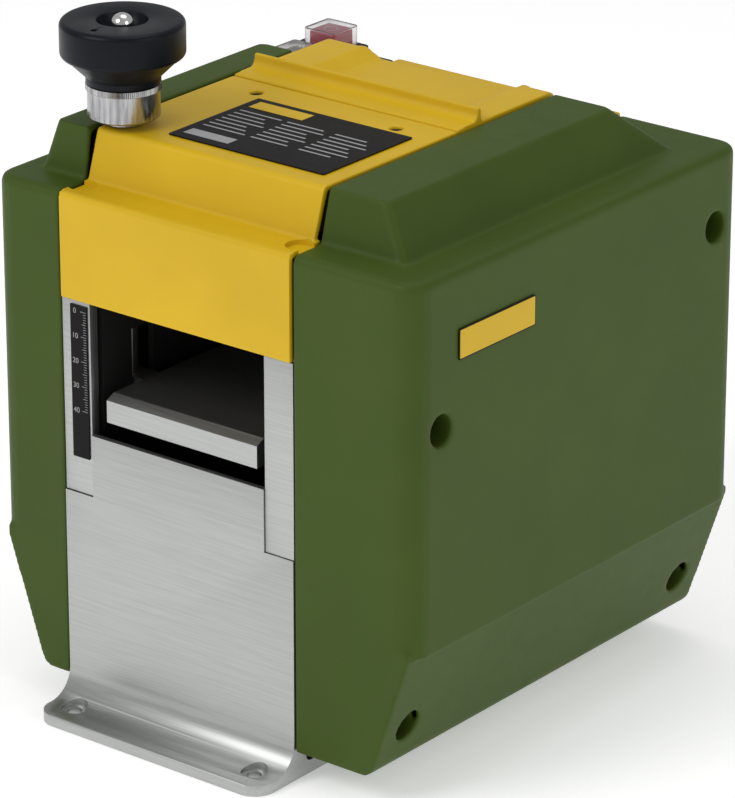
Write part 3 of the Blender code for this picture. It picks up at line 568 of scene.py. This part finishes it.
# ---- printed and stuck-on details ---------------------------------------------------
def build_label(mats):
    """Generic lines and panels that spell nothing."""
    low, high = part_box("rating_plate")
    top, thick = high.z + 0.00005, 0.00008
    width, depth = high.x - low.x, high.y - low.y

    def spot(u0, u1, v0, v1):
        """Outline from shares of the plate: u from the left, v from the front."""
        return [(low.x + u * width, low.y + v * depth) for u, v in
                ((u0, v0), (u1, v0), (u1, v1), (u0, v1))]

    strip = prism("label_strip", spot(0.05, 0.40, 0.80, 0.94), "Z", top, top + thick,
                  mats["yellow_plastic"])
    add_on(strip, "chassis")
    panel = prism("label_panel", spot(0.05, 0.34, 0.08, 0.19), "Z", top, top + thick,
                  mats["print"])
    add_on(panel, "chassis")

    bm = bmesh.new()
    rows, columns = 7, 3
    for row in range(rows):
        for column in range(columns):
            u = 0.05 + column * 0.31
            v = 0.70 - row * 0.068
            length = 0.27 - 0.035 * ((row * 2 + column) % 3)
            add_prism(bm, spot(u, u + length, v, v + 0.018), "Z", top, top + thick)
    add_on(finish_mesh("label_lines", bm, mats["print"]), "chassis")


def build_badge(mats):
    """Plain badge: a dark edge round an unmarked yellow field."""
    low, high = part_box("side_badge")
    rim = fillet(rectangle(low.y, high.y, low.z, high.z, 0.0008), 5)
    edge = prism("badge_edge", rim, "X", low.x, high.x - 0.00015, mats["label"])
    stand_for(edge, "side_badge", "chassis")
    inset = 0.0006
    field = fillet(rectangle(low.y + inset, high.y - inset, low.z + inset, high.z - inset,
                             0.0005), 5)
    face = prism("badge_face", field, "X", high.x - 0.00012, high.x, mats["yellow_plastic"])
    add_on(face, "chassis")


def build_thickness_scale(mats):
    """Fine ticks and plain numerals, counting down the strip to the machine's capacity."""
    low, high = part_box("thickness_scale")
    face, capacity, ink, line = low.y - 0.00005, 40, 0.00006, 0.00018
    zero = high.z - 0.0027
    bm = bmesh.new()
    for k in range(capacity + 1):
        z = zero - k * TEN_MARKS / 10
        length = 0.0030 if k % 10 == 0 else (0.0023 if k % 5 == 0 else 0.0015)
        x1 = high.x - 0.0004
        add_prism(bm, [(x1 - length, face - ink), (x1, face - ink), (x1, face),
                       (x1 - length, face)], "Z", z, z + line)
    add_on(finish_mesh("scale_ticks", bm, mats["print"]), "chassis")
    for value in range(0, capacity + 1, 10):
        curve = bpy.data.curves.new(f"numeral_{value}", "FONT")
        curve.body = str(value)
        curve.size = 0.0034
        curve.extrude = 0.00003
        curve.align_x, curve.align_y = "CENTER", "CENTER"
        text = bpy.data.objects.new(f"numeral_{value}", curve)
        text.location = (low.x + 0.0026, face - 0.00004, zero - value * TEN_MARKS / 10)
        text.rotation_euler = (math.radians(90), 0, 0)
        curve.materials.append(mats["print"])
        bpy.context.scene.collection.objects.link(text)
        add_on(text, "chassis")


# ---- carried-over CAD nodes ---------------------------------------------------------
def dress_nodes(mats):
    for part in frame["record"]["subparts"]:
        obj = frame["nodes"][part["node"]]
        obj.data.materials.clear()
        obj.data.materials.append(mats[part["material_slot"]])


# ---- studio -------------------------------------------------------------------------
def white_paper():
    """Matt backdrop paper that glows a little, so that it stays white."""
    surface = Surface("studio_paper")
    surface.shader.inputs["Specular IOR Level"].default_value = 0.05
    surface.shader.inputs["Emission Color"].default_value = (1.0, 1.0, 1.0, 1.0)
    surface.shader.inputs["Emission Strength"].default_value = 0.36
    surface.colour(surface.noise(300.0), (0.965, 0.965, 0.965), (0.975, 0.975, 0.975))
    surface.roughness(surface.noise(160.0), 0.80, 0.90)
    return surface.mat


def area_light(name, place, target, size, power):
    data = bpy.data.lights.new(name, "AREA")
    data.shape, data.size, data.energy = "DISK", size, power
    lamp = bpy.data.objects.new(name, data)
    lamp.location = place
    aim = Vector(target) - Vector(place)
    lamp.rotation_euler = aim.to_track_quat("-Z", "Y").to_euler()
    bpy.context.scene.collection.objects.link(lamp)


def build_studio():
    bm = bmesh.new()
    bmesh.ops.create_grid(bm, x_segments=2, y_segments=2, size=6.0)
    floor = finish_mesh("floor", bm, white_paper())
    floor.location.z = -0.0002

    world = bpy.data.worlds.new("studio")
    world.use_nodes = True
    sky = world.node_tree.nodes["Background"]
    sky.inputs["Color"].default_value = (1.0, 1.0, 1.0, 1.0)
    sky.inputs["Strength"].default_value = 0.42
    bpy.context.scene.world = world
    middle = (0, 0, 0.13)
    area_light("key", (-0.5, -1.5, 1.5), middle, 1.1, 14)
    area_light("side", (1.7, -0.1, 1.0), middle, 1.0, 5.0)
    area_light("top", (0.0, 0.3, 1.8), middle, 1.2, 5.5)


def build_camera():
    data = bpy.data.cameras.new("camera")
    data.lens, data.sensor_width = 220.16, 36.0
    data.clip_start, data.clip_end = 0.05, 30.0
    camera = bpy.data.objects.new("camera", data)
    camera.location = (1.23852, -1.54703, 0.91710)
    camera.rotation_euler = (math.radians(90 - 21.861), 0, math.radians(38.428))
    bpy.context.scene.collection.objects.link(camera)
    bpy.context.scene.camera = camera
    bpy.context.scene.view_settings.view_transform = "Standard"


MATS = build_materials()
dress_nodes(MATS)
build_camera()
build_studio()
build_base(MATS)
build_posts(MATS)
build_mouldings(MATS)
build_handwheel(MATS)
build_scale_ring(MATS)
build_switch(MATS)
build_top_screws(MATS)
build_springs(MATS)
build_label(MATS)
build_badge(MATS)
build_thickness_scale(MATS)
